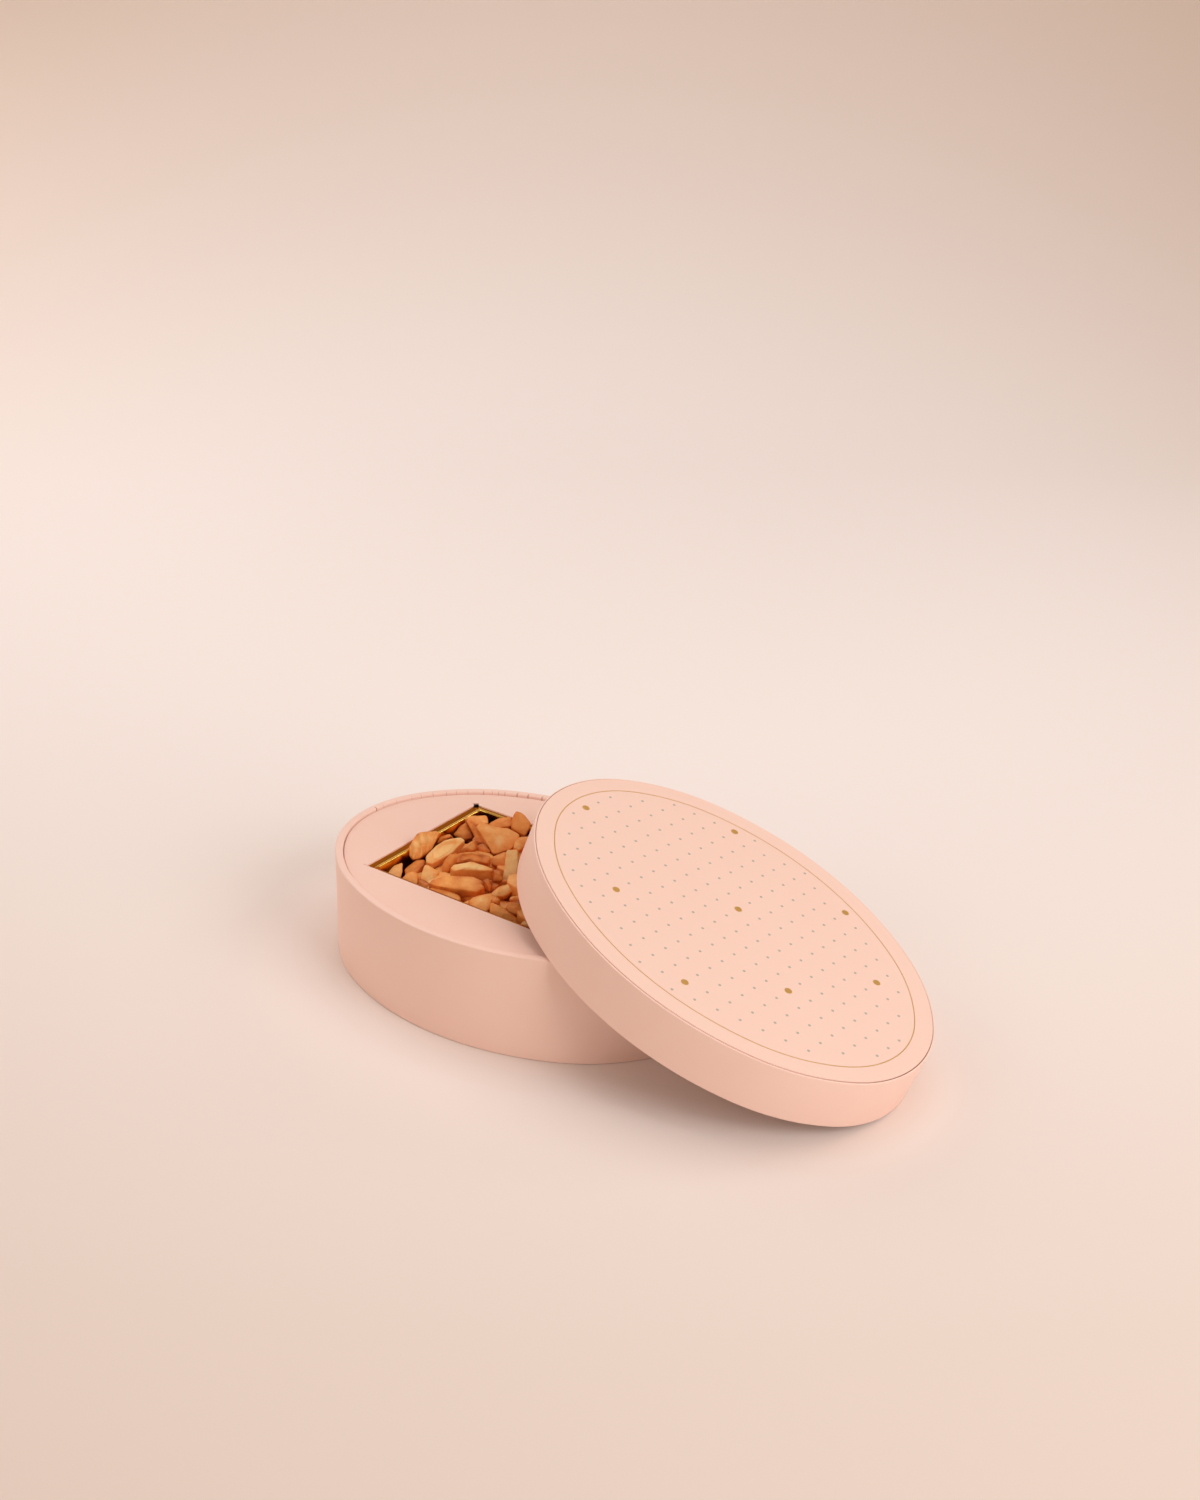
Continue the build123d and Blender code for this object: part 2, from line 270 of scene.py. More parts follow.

# %% [markdown]
# **Gold board.** The tray is card laminated with metallised polyester film. The film is a true
# mirror with an amber lacquer over it, and the card under it is never quite flat, so what it
# mirrors is drawn out in long soft waves. It is a metal to the shader: metallic 1, a low
# roughness, and two slow bumps, one for the buckled card and a finer one for rolling marks.
#
# The lacquer's colour follows an attribute of the mesh named sheen. On the flange it is the
# amber of the lacquer. Over a fold it is a painted highlight, paler, and deep on the walls, where
# the film mirrors the dark gaps between the pieces, it is a painted dark brown reflection.

# %% Gold board
buckle_size, rolling_mark_size = 14.0, 2.2
gold_board = new_material("metallised_gold_board")
gold_place = object_place(gold_board)
buckle = speckle(gold_board, gold_place, buckle_size, 1.0)
rolling = speckle(gold_board, gold_place, rolling_mark_size, 2.0)
sheen = add_node(gold_board, "ShaderNodeAttribute", {"attribute_name": "sheen"})
finish_with(gold_board, {
    # painted reflection and highlight: dark brown deep on the walls, pale over the fold
    "Base Color": ramp(
        gold_board, sheen.outputs["Fac"], (0, "#74430f"), (0.5, "#e0902c"), (1, "#ffdc70")
    ),
    "Metallic": 1.0,
    "Roughness": 0.18,
    "Normal": relief(gold_board, rolling, 0.3, 0.03, relief(gold_board, buckle, 0.5, 0.6)),
})
print("gold board: buckles", buckle_size, "mm, rolling marks", rolling_mark_size, "mm")

# %% [markdown]
# **Stamped foil and ink.** The border line and the larger dots on the lid are hot-stamped foil,
# duller than the tray because it is pressed into the tooth of the paper. The small dots are a
# plain warm grey ink.

# %% Foil and ink
foil_tooth_size, ink_grain_size = 0.5, 0.4
stamped_foil = new_material("hot_stamped_foil")
foil_tooth = speckle(stamped_foil, object_place(stamped_foil), foil_tooth_size, 3.0)
finish_with(stamped_foil, {
    "Base Color": mixed(stamped_foil, foil_tooth, linear("#e6b45a"), linear("#f2cc80")),
    "Metallic": 0.8,
    "Roughness": 0.42,
    "Normal": relief(stamped_foil, foil_tooth, 0.5, 0.04),
})

grey_ink = new_material("warm_grey_ink")
ink_grain = speckle(grey_ink, object_place(grey_ink), ink_grain_size, 2.0)
ink_colour = mixed(grey_ink, ink_grain, linear("#b0a698"), linear("#c2b8a8"))
finish_with(grey_ink, {"Base Color": ink_colour, "Roughness": 0.6, "IOR": 1.5})
print("print on the lid:", stamped_foil.name, "and", grey_ink.name)

# %% [markdown]
# **Fried crust.** The snack is a stiff wheat dough, cut in lozenges and fried until golden. Oil
# browns it from the edges inwards, so each mesh carries an attribute named browning that is high
# along thin edges. A patchy noise breaks that up, a fine one blisters the skin, and faint bands
# show where the dough was folded in layers. Its gloss is a thin film of oil on a rough crust.

# %% Fried crust
crust_patch, crust_blister, crust_layer = 7.0, 0.9, 1.7
patch_share, unbrowned = 0.9, 0.45

fried_crust = new_material("fried_wheat_crust")
crust_place = object_place(fried_crust)
browned = add_node(fried_crust, "ShaderNodeAttribute", {"attribute_name": "browning"})
patches = speckle(fried_crust, crust_place, crust_patch, 4.0, 0.6)
blisters = speckle(fried_crust, crust_place, crust_blister, 4.0, 0.6)
layers = add_node(fried_crust, "ShaderNodeTexWave", {"bands_direction": "Z"}, {
    "Vector": crust_place,
    "Scale": per_metre(crust_layer) / (2 * math.pi),
    "Distortion": 9.0,
    "Detail": 3.0,
    "Detail Scale": 1.5,
})
patchy = add_node(fried_crust, "ShaderNodeMath", {"operation": "MULTIPLY_ADD"}, {
    0: patches, 1: patch_share, 2: browned.outputs["Fac"],
})
levelled = add_node(fried_crust, "ShaderNodeMath", {"operation": "SUBTRACT", "use_clamp": True}, {
    0: patchy.outputs[0], 1: unbrowned,
})
browns = ((0, "#ffcf88"), (0.25, "#fbad5a"), (0.55, "#ec8c3a"), (1, "#a34712"))
crust_colour = ramp(fried_crust, levelled.outputs[0], *browns)
layered = relief(fried_crust, layers.outputs["Fac"], 0.35, 0.25)
finish_with(fried_crust, {
    "Base Color": crust_colour,
    "Roughness": 0.48,
    "IOR": 1.47,
    "Normal": relief(fried_crust, blisters, 0.8, 0.35, layered),
})
print("crust blisters:", crust_blister, "mm, patches:", crust_patch, "mm")

# %% [markdown]
# ## The ovals
#
# Tub and lid are ovals of eight arcs, three to each quarter. Arcs have an advantage over an
# ellipse: take the same amount off every radius and the new outline runs exactly parallel, as
# paper does round board. An oval is therefore sampled by the direction that it faces, with an
# inset taken off. Both are drawn a few hundredths of a millimetre small, so that the dressed box
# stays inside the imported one.

# %% Oval outlines
end_arc_angle, side_arc_angle = 34.0, 64.0
shoulder_radius_share = 0.98
around = 1440  # points round an outline
base_length, base_width, base_ease = 227.0, 165.0, 0.02
lid_length, lid_width, lid_ease = 232.0, 170.0, 0.06


def oval_arcs(length, width):
    """Centre, radius and last facing angle of each arc in an oval's first quarter."""
    half_long, half_wide = length / 2, width / 2
    shoulder = shoulder_radius_share * (half_long + half_wide) / 2
    first, last = math.radians(end_arc_angle), math.radians(side_arc_angle)
    shares = ((1 - math.cos(first), math.cos(last)), (math.sin(first), 1 - math.sin(last)))
    along = half_long + shoulder * (math.cos(last) - math.cos(first))
    across = half_wide - shoulder * (math.sin(last) - math.sin(first))
    end, side = (float(radius) for radius in np.linalg.solve(shares, (along, across)))
    end_middle = Vector((half_long - end, 0))
    shoulder_middle = end_middle + Vector((math.cos(first), math.sin(first))) * (end - shoulder)
    side_middle = shoulder_middle + Vector((math.cos(last), math.sin(last))) * (shoulder - side)
    return [
        (end_middle, end, end_arc_angle),
        (shoulder_middle, shoulder, side_arc_angle),
        (side_middle, side, 90.0),
    ]


def oval_outline(length, width):
    """Function that gives the outline's points at an inset."""
    arcs = oval_arcs(length, width)

    def outline(inset):
        points = []
        for step in range(around):
            facing = 2 * math.pi * step / around
            c, s = math.cos(facing), math.sin(facing)
            turned = math.degrees(math.atan2(abs(s), abs(c)))
            middle, radius, _ = next((arc for arc in arcs if turned <= arc[2]), arcs[-1])
            x = middle.x + (radius - inset) * abs(c)
            y = middle.y + (radius - inset) * abs(s)
            points.append((math.copysign(x, c), math.copysign(y, s)))
        return points

    return outline


base_outline = oval_outline(base_length - base_ease, base_width - base_ease)
lid_outline = oval_outline(lid_length - lid_ease, lid_width - lid_ease)
tub_radii = [round(radius, 1) for _, radius, _ in oval_arcs(base_length, base_width)]
print("radii of the tub's arcs:", tub_radii, "mm")

# %% [markdown]
# ## Sheets that follow an outline
#
# A wrap is one closed section carried round the outline: out over the wall, in over the rim and
# back under itself. The section is a list of corners, each with a rounding, and every point of
# it becomes one ring of the mesh. Such a sheet can be marked with a value at every point, which
# its material reads.

# %% Sections and rings
corner_steps = 5
crease_angle = math.radians(50)


def section(*corners):
    """Points of a closed section from (inset, height, rounding) corners."""
    points = []
    for i, (inset, height, rounding) in enumerate(corners):
        here = Vector((inset, height))
        if not rounding:
            points.append(tuple(here))
            continue
        before = Vector(corners[i - 1][:2]) - here
        after = Vector(corners[(i + 1) % len(corners)][:2]) - here
        start = here + before.normalized() * rounding
        end = here + after.normalized() * rounding
        middle = start + after.normalized() * rounding
        for step in range(corner_steps + 1):
            turn = math.pi / 2 * step / corner_steps
            from_middle = (start - middle) * math.cos(turn) + (end - middle) * math.sin(turn)
            points.append(tuple(middle + from_middle))
    return points


def mesh_object(name, vertices, faces, material, place=Matrix.Identity(4)):
    """Mesh object whose place is in its mesh, from points in millimetres."""
    mesh = bpy.data.meshes.new(name)
    mesh.from_pydata([place @ (Vector(v) * MM) for v in vertices], [], faces)
    mesh.validate()
    bm = bmesh.new()
    bm.from_mesh(mesh)
    bmesh.ops.recalc_face_normals(bm, faces=bm.faces)
    bm.to_mesh(mesh)
    bm.free()
    mesh.materials.append(material)
    mesh.shade_smooth()
    return add_object(name, mesh)


def faces_between(ring, following, count):
    """Faces between two rings of vertices, each ring named by its first vertex."""
    pairs = [(i, (i + 1) % count) for i in range(count)]
    return [(ring + i, ring + j, following + j, following + i) for i, j in pairs]


def carried_round(name, outline, points, material, place=Matrix.Identity(4)):
    """Closed section carried round an outline, smooth but for its creases."""
    vertices, faces = [], []
    for inset, height in points:
        vertices += [(x, y, height) for x, y in outline(inset)]
    count = len(vertices) // len(points)
    for ring in range(len(points)):
        faces += faces_between(ring * count, (ring + 1) % len(points) * count, count)
    obj = mesh_object(name, vertices, faces, material, place)
    obj.data.set_sharp_from_angle(angle=crease_angle)
    return obj


def mark_sheet(obj, name, points, value_at):
    """Attribute whose value follows from a point's inset, height and column round the sheet."""
    attribute = obj.data.attributes.new(name, "FLOAT", "POINT")
    columns = len(attribute.data) // len(points)
    for index, item in enumerate(attribute.data):
        item.value = value_at(*points[index // columns], index % columns)


print("a rounded corner adds", corner_steps, "rings")

# %% [markdown]
# ## The tub
#
# The wrap is 0.25 mm paper on a 3.7 mm wall. It turns over the rim, 14 mm down inside, and 12 mm
# in under the floor. It is pulled tight over soft board, so its upper edges are well rounded and
# the foot is sharper.

# %% Tub wrap
base_height, base_wall, wrap = 58.0, 4.2, 0.25
rim_round, foot_round = 0.8, 0.4
turn_in, turn_under = 14.0, 12.0

wrap_section = section(
    (0.0, wrap, foot_round),
    (0.0, base_height, rim_round),
    (base_wall / 2, base_height, 0.0),
    (base_wall, base_height, rim_round),
    (base_wall, base_height - turn_in, 0.0),
    (base_wall - wrap, base_height - turn_in, 0.0),
    (base_wall - wrap, base_height - wrap, 0.0),
    (wrap, base_height - wrap, 0.0),
    (wrap, 2 * wrap, 0.0),
    (turn_under, 2 * wrap, 0.0),
    (turn_under, wrap, 0.0),
)
tub_wrap = carried_round("tub_covering", base_outline, wrap_section, covering_paper)
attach(tub_wrap, "base")
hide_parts("base_wrap_paper")
print("tub covering:", len(tub_wrap.data.polygons), "faces")

# %% [markdown]
# A flat sheet can't turn in over a curved rim in one piece, so it is cut into tabs. The cuts run
# down the inside of the rim, about 6 mm apart but never evenly. Their shade is painted in, and
# in front it is painted weaker. One seam crosses the rim where the sheet's ends overlap, and the
# shade along it is painted too.

# %% Cuts in the turned-in edge
cut_spacing, gap_range = 6.2, (0.5, 1.8)
faintest_cut_shade, cut_shade_range, front_shade_share = 0.3, 0.6, 0.12
rim_band = 3.0
seam_pixel = (372, 806)

chooser = random.Random(7)
inner_rim, middle_rim = base_outline(base_wall), base_outline(base_wall / 2)
cut_columns, walked, next_cut = [], 0.0, cut_spacing
for column in range(1, around):
    walked += (Vector(inner_rim[column]) - Vector(inner_rim[column - 1])).length
    if walked > next_cut:
        cut_columns.append(column)
        next_cut += cut_spacing * chooser.uniform(*gap_range)
cut_shade_strengths = {column: faintest_cut_shade + cut_shade_range * chooser.random() for column in cut_columns}
seam_place = place_at(seam_pixel, base_height)
seam_column = min(
    range(around), key=lambda column: (Vector(middle_rim[column]) - seam_place.xy).length
)


def painted_cut_shade(inset, height, column):
    """Painted shade of the cuts and the seam at a point of the tub's wrap."""
    if inset <= base_wall / 2 or height < base_height - rim_band:
        return 0.0
    # painted shade along the seam, at full strength
    if seam_column <= column <= seam_column + 1:
        return 1.0
    # painted shade of the cuts, weaker in front
    shade_share = front_shade_share if inner_rim[column][1] < 0 else 1.0
    return shade_share * cut_shade_strengths.get(column, 0.0)


mark_sheet(tub_wrap, "cuts", wrap_section, painted_cut_shade)
print(len(cut_columns), "cuts round the rim and one seam")

# %% [markdown]
# ## The lid
#
# The lid was placed by the CAD model, which found where it touches the table and the tub's rim.
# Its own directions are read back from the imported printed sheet. A flat oval spreads most along
# its length, less across and least through its thickness, so the three directions of its spread
# are the lid's own axes. Everything on the lid is then built level and turned into place.

# %% Where the lid leans
lid_height, top_sheet = 29.0, 0.3
sheet_points = np.array([v.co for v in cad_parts["lid_top_paper"].data.vertices])
sheet_middle = (sheet_points.max(0) + sheet_points.min(0)) / 2
spread = np.linalg.svd(sheet_points - sheet_middle, full_matrices=False)[2]
lid_along, lid_up = Vector(spread[0]), Vector(spread[2])
lid_along *= math.copysign(1, lid_along.x)
lid_up *= math.copysign(1, lid_up.z)
lid_across = lid_up.cross(lid_along)
mouth_middle = Vector(sheet_middle) - lid_up * (lid_height - top_sheet / 2) * MM
lid_place = Matrix.Translation(mouth_middle) @ Matrix(
    (lid_along, lid_across, lid_up)
).transposed().to_4x4()
print("the lid leans", round(math.degrees(math.asin(-lid_along.z)), 2), "degrees")
print("its mouth's middle is at", [round(c / MM, 1) for c in mouth_middle])

# %% [markdown]
# The lid is covered as the tub is: paper round the band, 8 mm over the top, where the printed
# sheet hides it, and 12 mm up inside. The printed sheet ends 1.2 mm short of the edge, and just
# outside it the paper dips into a hair of a groove. The groove casts a little shade, and more is
# painted in through the cuts attribute, darkest at the two ends of the lid.

# %% Lid wrap
lid_band, lid_turn_in, lid_turn_over = 1.75, 12.0, 8.0
wrap_top = lid_height - top_sheet
mouth_round, edge_round = 0.25, 0.4
groove_from, groove_to, groove_side, groove_depth, groove_round = 0.75, 1.25, 0.05, 0.2, 0.1

lid_wrap_section = section(
    (0.0, 0.0, mouth_round),
    (0.0, wrap_top, edge_round),
    (groove_from, wrap_top, groove_round),
    (groove_from + groove_side, wrap_top - groove_depth, 0.0),
    (groove_to - groove_side, wrap_top - groove_depth, 0.0),
    (groove_to, wrap_top, 0.0),
    (lid_turn_over, wrap_top, 0.0),
    (lid_turn_over, wrap_top - wrap, 0.0),
    (wrap, wrap_top - wrap, 0.0),
    (wrap, wrap, 0.0),
    (lid_band, wrap, 0.0),
    (lid_band, lid_turn_in, 0.0),
    (lid_band + wrap, lid_turn_in, 0.0),
    (lid_band + wrap, 0.0, mouth_round),
)
lid_wrap = carried_round("lid_covering", lid_outline, lid_wrap_section, covering_paper, lid_place)
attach(lid_wrap, "lid")
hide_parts("lid_band_wrap_paper")
print("lid covering:", len(lid_wrap.data.polygons), "faces")

# %% Painted shadow line round the printed sheet
dark_from, dark_to, dark_band = 0.7, 1.22, 1.0
least_shadow, end_power = 0.25, 3


def painted_shadow_line(inset, height, column):
    """Painted shadow of the line round the printed sheet at a point of the lid's wrap."""
    if not dark_from < inset < dark_to or height <= lid_height - dark_band:
        return 0.0
    towards_end = abs(math.cos(2 * math.pi * column / around))
    return least_shadow + (1 - least_shadow) * towards_end**end_power


# the lid's painted shadow line rides in the attribute named cuts
mark_sheet(lid_wrap, "cuts", lid_wrap_section, painted_shadow_line)
print("shadow line:", dark_from, "to", dark_to, "mm from the lid's edge")

# %% [markdown]
# ## Print on the lid
#
# The print is a border line, an even lattice of small dots and a few larger stamped ones. Ink
# and foil are far thinner than a mesh can show well, so each is a film 0.03 mm thick that lies
# on the sheet. A 2D curve fills whatever lies between its outlines, which suits rings and dots
# alike. It is then turned into a mesh and leant with the lid.

# %% Films cut from outlines
film = 0.03


def cut_film(name, outlines, bottom, material, place):
    """Thin flat film between outlines given in millimetres, its underside at a height."""
    curve = bpy.data.curves.new(name + "_outlines", "CURVE")
    curve.dimensions = "2D"
    curve.fill_mode = "BOTH"
    curve.extrude = film / 2 * MM
    for points in outlines:
        spline = curve.splines.new("POLY")
        spline.points.add(len(points) - 1)
        for point, (x, y) in zip(spline.points, points):
            point.co = (x * MM, y * MM, 0, 1)
        spline.use_cyclic_u = True
    drawn = add_object(name + "_outlines", curve)
    depsgraph = bpy.context.evaluated_depsgraph_get()
    mesh = bpy.data.meshes.new_from_object(drawn.evaluated_get(depsgraph))
    bpy.data.objects.remove(drawn)
    bpy.data.curves.remove(curve)
    mesh.transform(place @ Matrix.Translation((0, 0, (bottom + film / 2) * MM)))
    mesh.name = name
    mesh.materials.clear()
    mesh.materials.append(material)
    return add_object(name, mesh)


def disc_outline(x, y, across, steps=16):
    """Points round a dot."""
    turns = (2 * math.pi * step / steps for step in range(steps))
    return [(x + across / 2 * math.cos(t), y + across / 2 * math.sin(t)) for t in turns]


print("films are", film, "mm thick")

# %% [markdown]
# The dots stand in columns 10.4 mm apart, every second one half a step lower, and stop 4 mm short
# of the border line. Eight of them, here by column and row, are stamped and larger.

# %% Border line and dots
line_inset, line_width = 10.4, 0.5
lattice_long, lattice_wide = 10.4, 10.0
lattice_shift, lattice_reach = (0.9, 0.4), 11
dot_margin = 4.0
ink_dot, foil_dot, foil_dot_steps = 1.5, 3.9, 32
foil_dots = [(-10, -1), (-5, -4), (-5, 6), (-1, 1), (1, -6), (2, 6), (4, -2), (6, 3)]

line_outer = lid_outline(line_inset)
line_outlines = [line_outer, lid_outline(line_inset + line_width)]
line = cut_film("stamped_border_line", line_outlines, lid_height, stamped_foil, lid_place)


def lattice_point(column, row):
    """Place of a lattice point."""
    x = (column + 0.5) * lattice_long + lattice_shift[0]
    y = (row + (0.5 if column % 2 == 0 else 0.0)) * lattice_wide + lattice_shift[1]
    return x, y


reach_long, reach_wide = line_outer[0][0] - dot_margin, line_outer[around // 4][1] - dot_margin
small_dots, large_dots = [], []
for column in range(-lattice_reach, lattice_reach):
    for row in range(-lattice_reach, lattice_reach):
        x, y = lattice_point(column, row)
        if math.hypot(x / reach_long, y / reach_wide) > 1:
            continue
        if (column, row) in foil_dots:
            large_dots.append(disc_outline(x, y, foil_dot, foil_dot_steps))
        else:
            small_dots.append(disc_outline(x, y, ink_dot))

ink = cut_film("ink_dots", small_dots, lid_height, grey_ink, lid_place)
foil = cut_film("stamped_dots", large_dots, lid_height, stamped_foil, lid_place)
for printed, slot in ((line, "gold_board"), (foil, "gold_board"), (ink, "blush_print_paper")):
    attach(printed, "lid")
print(len(small_dots), "ink dots and", len(large_dots), "stamped dots")

# %% [markdown]
# ## The gold tray
#
# The tray is scored and folded from one sheet of gold board. Its flanges lie under the deck and
# show as a bright lip inside the window. Folded board never has a sharp edge, so the section
# rounds the score by 0.7 mm, and that round, with a painted highlight on it, draws the bright
# line. Two shallow score lines run beside it. The section is carried round a rectangle. Its front
# corners are mitred, and at the back the flanges stop short of each other, as four flaps folded
# from one sheet must.

# %% Outline of the tray
tray_half_long, tray_half_wide = 66.0, 43.0
tray_flange, window_shift = 9.0, -1.3
corner_reach, least_cut = 4.0, 0.01
side_steps = 24


def tray_outline(inset):
    """Rectangle round the flanges' outer edge, taken in by an inset, its corners cut away."""
    outside = tray_flange - inset
    half_long, half_wide = tray_half_long + outside, tray_half_wide + outside
    signs = ((1, 1), (-1, 1), (-1, -1), (1, -1))
    corners = [Vector((half_long * x, half_wide * y)) for x, y in signs]
    points = []
    for i, corner in enumerate(corners):
        following = corners[(i + 1) % 4]
        along = (following - corner).normalized()
        start, end = (
            place + way * (max(least_cut, 2 * outside - corner_reach) if place.y > 0 else least_cut)
            for place, way in ((corner, along), (following, -along))
        )
        for step in range(side_steps + 1):
            x, y = start.lerp(end, step / side_steps)
            points.append((x, y + window_shift))
    return points


print("points round the tray:", len(tray_outline(0)))

# %% Folded tray
tray_card, flange_thickness = 0.5, 0.6
tray_floor, tray_top, floor_reach = 2.5, 55.6, 42.9
fold_round, foot_fold, under_fold = 0.7, 0.4, 0.2
# below this depth the walls carry the painted dark reflection
painted_dark_depth = 4.0
score_depth = 0.35
# how far back from the fold each point of the score lines lies, and whether it is down
score_points = ((3.4, 0), (3.1, 1), (2.7, 1), (2.4, 0), (1.9, 1), (1.5, 0))

tray_section = section(
    (0.0, tray_top, 0.0),
    *((tray_flange - back, tray_top - score_depth * down, 0.0) for back, down in score_points),
    (tray_flange, tray_top, fold_round),
    (tray_flange, tray_top - painted_dark_depth, 0.0),
    (tray_flange, tray_floor + tray_card, foot_fold),
    (tray_flange + floor_reach, tray_floor + tray_card, 0.0),
    (tray_flange + floor_reach, tray_floor, 0.0),
    (tray_flange - tray_card, tray_floor, foot_fold),
    (tray_flange - tray_card, tray_top - flange_thickness, under_fold),
    (0.0, tray_top - flange_thickness, 0.0),
)
gold_tray = carried_round("folded_gold_tray", tray_outline, tray_section, gold_board)
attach(gold_tray, "base")
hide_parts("gold_tray")
print("tray:", len(gold_tray.data.polygons), "faces")

# %% Painted sheen of the tray
flange_sheen, fold_painted_highlight, front_fold_painted_highlight = 0.45, 1.0, 0.4
fold_width, fold_depth = 1.6, 1.0
fold_outline = tray_outline(tray_flange)


def painted_sheen_at(inset, height, column):
    """Painted light on the tray's film: dark deep on the walls, a highlight over the fold."""
    if height <= tray_top - painted_dark_depth:
        return 0.0
    if inset <= tray_flange - fold_width or height <= tray_top - fold_depth:
        return flange_sheen
    # the front fold's painted highlight is weaker
    return front_fold_painted_highlight if fold_outline[column][1] <= -tray_half_wide else fold_painted_highlight


mark_sheet(gold_tray, "sheen", tray_section, painted_sheen_at)
print("sheen of the fold:", fold_painted_highlight, "and of the flange:", flange_sheen)

# %% [markdown]
# ## Fried dough
#
# The dough is rolled out, cut slantwise into lozenges and fried until it is stiff. Frying sets
# the cut, so a piece keeps flat faces and crisp corners, which is what tells it from a nut. Each
# piece is therefore a slab: an outline with its corners eased, a thickness and rounded edges.

# %% Outline of a face
ease_share = 0.22


def eased_outline(corners, steps):
    """Closed outline through corners, each of them eased over part of its two edges."""
    points = []
    for i, corner in enumerate(corners):
        following = corners[(i + 1) % len(corners)]
        start = corner.lerp(corners[i - 1], ease_share)
        end = corner.lerp(following, ease_share)
        for step in range(steps + 1):
            t = step / steps
            points.append(start.lerp(corner, t).lerp(corner.lerp(end, t), t))
        next_start = following.lerp(corner, ease_share)
        points += [end.lerp(next_start, step / steps) for step in range(1, steps)]
    return points


print("a corner is eased over", ease_share, "of its edges")

# %% [markdown]
# Rings run from the middle of one face out to its edge, over the edge, down the side and back to
# the middle of the other face. Noise then pushes the skin in and out, and no two pieces share
# it, because each has its own place in the noise. A face may have a dimple with a raised lip, or
# the ridges of folded layers. Browning is higher on the sides, at the rim and round a dimple.

# %% One slab of dough
usual_edge = 0.9
noise_strides = (7.13, 3.71, 1.37)
# skin: how far it moves in millimetres, and its waves per millimetre
swell, swell_rate = 1.2, 0.1
ripple, ripple_rate = 0.6, 0.3
blister, blister_rate = 0.25, 1.2
tone_change, tone_rate = 0.2, 0.17
ridge_rate, ridge_wander, wander_rate = 1.6, 2.5, 0.12
# dimple: shares of the way out to the rim
dimple_reach, lip_place, lip_width, lip_height = 0.6, 0.85, 0.1, 0.5
side_browning, rim_browning = 0.16, 0.1
dimple_browning, dimple_side, dimple_side_width = 0.22, 0.68, 0.12


def dough_slab(corners, facing, thickness, seed, edge=usual_edge, puff=0.5, dimple=0.0,
               folds=0.0, rough=0.4, browning=0.3, steps=4):
    """Vertices in millimetres, faces and browning of a slab behind a face with given corners."""
    own = Vector([seed * stride for stride in noise_strides])
    rim = eased_outline(corners, steps)
    middle = sum(rim, Vector()) / len(rim)
    outward = [(point - middle).normalized() for point in rim]
    inner = [point - out * edge for point, out in zip(rim, outward)]
    ridge_way = facing.cross(Vector((0, 0, 1))).normalized()

    # a ring: share of the way out, depth behind the face, and how far it is round the edge
    shares = [step / (steps + 2) for step in range(1, steps + 2)]
    turns = [step / steps for step in range(steps + 1)]
    over = [(1.0, edge * (1 - math.cos(turn * math.pi / 2)), turn) for turn in turns]
    side = [(1.0, edge + (thickness - 2 * edge) * step / 3, 1.0) for step in (1, 2)]
    under = [(1.0, thickness - depth, 2 - turn) for _, depth, turn in reversed(over)]
    rings = [(share, 0.0, 0.0) for share in shares] + over + side + under
    rings += [(share, thickness, 2.0) for share in reversed(shares)]

    vertices, tones = [], []

    def add_point(point, away, tone):
        moved = swell * noise.noise(point * swell_rate + own)
        moved += ripple * noise.noise(point * ripple_rate + own)
        blistered = blister * noise.noise(point * blister_rate + own)
        vertices.append(point + away * rough * (moved + blistered))
        tones.append(browning + tone + tone_change * noise.noise(point * tone_rate - own))

    def face_height(share, point):
        height = puff * (1 - share**2)
        if dimple:
            hollow = math.exp(-((share / dimple_reach) ** 4))
            lip = math.exp(-(((share - lip_place) / lip_width) ** 2))
            height -= dimple * (hollow - lip_height * lip)
        if folds:
            wander = ridge_wander * noise.noise(point * wander_rate + own)
            height += folds * math.sin(point.dot(ridge_way) * ridge_rate + wander)
        return height

    for share, depth, turn in rings:
        angle = turn * math.pi / 2
        tone = side_browning * math.sin(min(turn, 2 - turn) * math.pi / 2)
        tone += rim_browning * share**4
        if turn < 1 and dimple:
            off_side = (share - dimple_side) / dimple_side_width
            tone += dimple_browning * math.exp(-(off_side**2))
        for near, out in zip(inner, outward):
            point = middle + (near - middle) * share + out * edge * math.sin(angle)
            height = face_height(share, point) if turn < 1 else 0.0
            away = facing * math.cos(angle) + out * math.sin(angle)
            add_point(point + facing * (height - depth), away, tone)
    count, faces = len(rim), []
    for ring in range(len(rings) - 1):
        faces += faces_between(ring * count, (ring + 1) * count, count)
    add_point(middle + facing * (puff - dimple), facing, 0.0)
    add_point(middle - facing * thickness, -facing, 0.0)
    last_ring = (len(rings) - 1) * count
    for j in range(count):
        following = (j + 1) % count
        faces.append((j, following, len(vertices) - 2))
        faces.append((last_ring + j, last_ring + following, len(vertices) - 1))
    return vertices, faces, tones


print("a slab's edges are rounded by", usual_edge, "mm")

# %% Many slabs in one object
def heap(name, pieces, node):
    """One object of many pieces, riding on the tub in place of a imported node."""
    vertices, faces, tones = [], [], []
    for own_vertices, own_faces, own_tones in pieces:
        first = len(vertices)
        vertices += own_vertices
        faces += [tuple(first + i for i in face) for face in own_faces]
        tones += own_tones
    obj = mesh_object(name, vertices, faces, fried_crust)
    obj.data.attributes.new("browning", "FLOAT", "POINT").data.foreach_set("value", tones)
    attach(obj, "base")
    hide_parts(node)
    return f"{name}: {len(pieces)} pieces, {len(obj.data.polygons)} faces"


print("heaps are covered in", fried_crust.name)

# %% [markdown]
# The pieces in the window are placed by the picture. The corners of a face give rays, and the
# face's plane says where each ray ends. The plane needs a height for its middle and the way that
# it faces: a turn to the right of the viewer and a rise above level. A face that rises 90
# degrees lies flat, and one of 20 degrees stands nearly upright.

